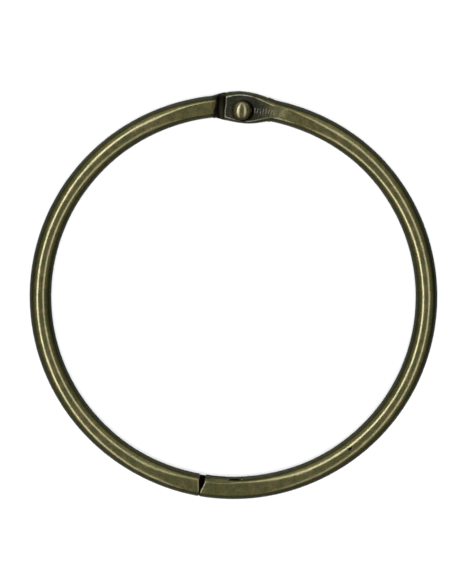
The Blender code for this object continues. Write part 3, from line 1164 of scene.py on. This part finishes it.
tickLook = {
    **bronzeLook,
    "rub": 0.6,
    "olive": (0.31, 0.3, 0.21),
    "brown": (0.37, 0.355, 0.26),
    "faceBlack": 0.0,
    "cornerBlack": 0.0,
    "streakDark": 0.0,
}

groups = (ringGrainGroup(), rubbedEdgesGroup(), patinaAndShadeGroup())
antiqueBronze = bronzeMaterial("antiqueBronze", groups, bronzeLook)
rivetBronze = bronzeMaterial("rivetBronze", groups, rivetLook)
rubbedTicks = bronzeMaterial("rubbedTicks", groups, tickLook)
print("finishes made")

section = makeSection(sideSteps=20, flatSteps=8)
bars = barTree()


def leanEnds(start, end, endRound, endChamfer=0.0):
    return {
        "startInside": start[0],
        "startOutside": start[1],
        "startRound": hinge["edgeRound"],
        "endInside": end[0],
        "endOutside": end[1],
        "endRound": endRound,
        "endChamfer": endChamfer,
    }


def seamEnd(inside, outside):
    # where an end at the seam stands, and how it leans from there at its inner and outer side
    middle = (inside + outside) / 2
    return middle, [inside - middle, outside - middle]


noseMiddle, noseLean = seamEnd(closure["noseInside"], closure["noseOutside"])
forkArm = makeArm(
    "forkArm", -hinge["cheekReach"] / wire["circle"], oppositeAngle(noseMiddle),
    leanEnds(hinge["cheekLean"], noseLean, closure["noseRound"]),
    True, section, bars, antiqueBronze,
)
for tool in (forkSlot(), makeBore("cheekBore", hinge["boreRadius"]), closureSlot(), noseNotch()):
    combine(forkArm, tool, "DIFFERENCE")
for name, dent in dents.items():
    combine(forkArm, dentCutter(name, dent), "DIFFERENCE")
lugTicks = makeTicks(forkArm, rubbedTicks)
markShade(forkArm, dentShade)
finishPiece(forkArm, antiqueBronze, "fork_arm", ["fork_half_ring"])
finishPiece(lugTicks, rubbedTicks, "fork_arm", [])

shoulderMiddle, shoulderLean = seamEnd(closure["shoulderInside"], closure["shoulderOutside"])
tongueArm = makeArm(
    "tongueArm", oppositeAngle(shoulderMiddle), 2 * math.pi - hinge["shoulderReach"] / wire["circle"],
    leanEnds(shoulderLean, hinge["shoulderLean"], hinge["edgeRound"], hinge["shoulderChamfer"]),
    False, section, bars, antiqueBronze,
)
for tool in (hingeTongue(), hookTongue(), tongueRoot()):
    combine(tongueArm, tool, "UNION")
markShade(tongueArm, tongueShade)
finishPiece(tongueArm, antiqueBronze, "tongue_arm", ["tongue_half_ring"])
finishPiece(makeRivet(), rivetBronze, "fork_arm", ["hinge_rivet"])
drop(section)
print("ring made")

studio = {
    "floorReach": 3.0,
    "floorLight": 5.3,
    "floorSoft": 120,  # angle of the overhead light, in degrees
    "backdrop": 0.98,
    "gloom": 0.01,  # what the room reflects everywhere
    "above": (-0.1, 0.9, 0.18),  # more of it where a direction runs from one share to another
    "left": (0.2, -1.0, 0.038),
    "ends": 0.06,
    "far": (0.2, 1.0, 0.22),
    "farAbove": (-0.05, 0.35),
    "below": (-0.15, -0.55),
    "bounce": (0.062, 0.076, 0.12),  # from below, cool off the table
    "height": 1.6,
    "leftAcross": -0.51,  # places of the two long lights, in heights
    "rightAcross": 0.41,
    "closing": 0.1,  # how much they close up for each height towards the hinge
    "reach": [-2.6, 2.6],
    "tubeWidth": 0.44,
    "tubeColour": (0.68, 0.665, 1.0),
    "leftGlow": 4.4,
    "rightGlow": 1.85,
    "fade": 0.7,  # the tubes dim away from their middles, over this many heights
    "dimmest": 0.35,
    "tubeParts": 10,
    "lens": 400,
    "distance": 1214,
    "aim": (-1.44, 0.93),
    "tilt": 7.4,  # in degrees from straight above, towards the hinge
    "turn": 2.58,
}


def longLight(name, across, closing, glow):
    # a long soft tube over the ring, seen only as a reflection, in parts that dim towards its ends
    high = studio["height"]
    low, far = studio["reach"]
    steps = spread(low, far, studio["tubeParts"])
    for i, (a, b) in enumerate(zip(steps, steps[1:])):
        start, end = [Vector((across + closing * y, y, 1)) * high for y in (a, b)]
        run = end - start
        middle = (start + end) / 2
        light = bpy.data.lights.new(f"{name}{i}", "AREA")
        light.shape = "RECTANGLE"
        light.color = studio["tubeColour"]
        light.size = studio["tubeWidth"]
        light.size_y = run.length
        share = mix(studio["dimmest"], 1.0, math.exp(-((a + b) / 2 / studio["fade"]) ** 2))
        light.energy = glow * share * light.size * light.size_y * math.pi
        obj = addObject(light.name, light)
        upright = run.normalized()
        back = (middle - upright * middle.dot(upright)).normalized()
        turn = Matrix((upright.cross(back), upright, back)).transposed()
        obj.matrix_world = Matrix.Translation(middle) @ turn.to_4x4()
        obj.visible_camera = False
        obj.visible_diffuse = False


def makeWorld():
    world = bpy.data.worlds.new("studio")
    world.use_nodes = True
    tree = world.node_tree
    x, y, z = splitNode(tree, tree.nodes.new("ShaderNodeTexCoord").outputs["Generated"])

    def glowTowards(direction, key):
        low, high, glow = studio[key]
        return ramp(tree, direction, low, high, 0.0, glow)

    far = product(tree, ramp(tree, z, *studio["farAbove"]), glowTowards(y, "far"))
    ends = product(tree, mathNode(tree, "ABSOLUTE", y), studio["ends"])
    room = total(tree, glowTowards(z, "above"), glowTowards(x, "left"), ends, far, studio["gloom"])
    bounce = ramp(tree, z, *studio["below"])
    glow = joinNode(tree, *[total(tree, room, product(tree, bounce, share)) for share in studio["bounce"]])
    seen = tree.nodes.new("ShaderNodeLightPath").outputs["Is Camera Ray"]
    backdrop = mixColours(tree, seen, glow, (studio["backdrop"],) * 3)
    tree.links.new(backdrop, tree.nodes["Background"].inputs["Color"])
    bpy.context.scene.world = world


def makeFloor():
    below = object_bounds()[0].z - 0.01 * mm
    bm = bmesh.new()
    middle = Matrix.Translation((0, 0, below))
    bmesh.ops.create_circle(bm, cap_ends=True, segments=96, radius=studio["floorReach"], matrix=middle)
    floor = addMesh("floor", bm)
    material = bpy.data.materials.new("paleTable")
    material.use_nodes = True
    shader = material.node_tree.nodes["Principled BSDF"]
    shader.inputs["Base Color"].default_value = (0.9, 0.9, 0.9, 1)
    shader.inputs["Roughness"].default_value = 0.9
    shader.inputs["Specular IOR Level"].default_value = 0.0
    floor.data.materials.append(material)
    floor.visible_glossy = False


def makeOverhead():
    sun = bpy.data.lights.new("overhead", "SUN")
    sun.energy = studio["floorLight"]
    sun.angle = math.radians(studio["floorSoft"])
    addObject("overhead", sun).visible_glossy = False


def makeCamera():
    lens = bpy.data.cameras.new("camera")
    lens.lens = studio["lens"]
    obj = addObject("camera", lens)
    tilt = math.radians(studio["tilt"])
    back = Vector((0, math.sin(tilt), math.cos(tilt)))
    up = Vector((0, math.cos(tilt), -math.sin(tilt)))
    look = Matrix((up.cross(back), up, back)).transposed()
    look = look @ Matrix.Rotation(math.radians(studio["turn"]), 3, "Z")
    stand = Vector((*studio["aim"], 0)) + studio["distance"] * back
    obj.matrix_world = Matrix.Translation(stand * mm) @ look.to_4x4()
    bpy.context.scene.camera = obj


longLight("leftTube", studio["leftAcross"], studio["closing"], studio["leftGlow"])
longLight("rightTube", studio["rightAcross"], -studio["closing"], studio["rightGlow"])
makeWorld()
makeFloor()
makeOverhead()
makeCamera()
bpy.context.scene.view_settings.view_transform = "Standard"
print("studio made")
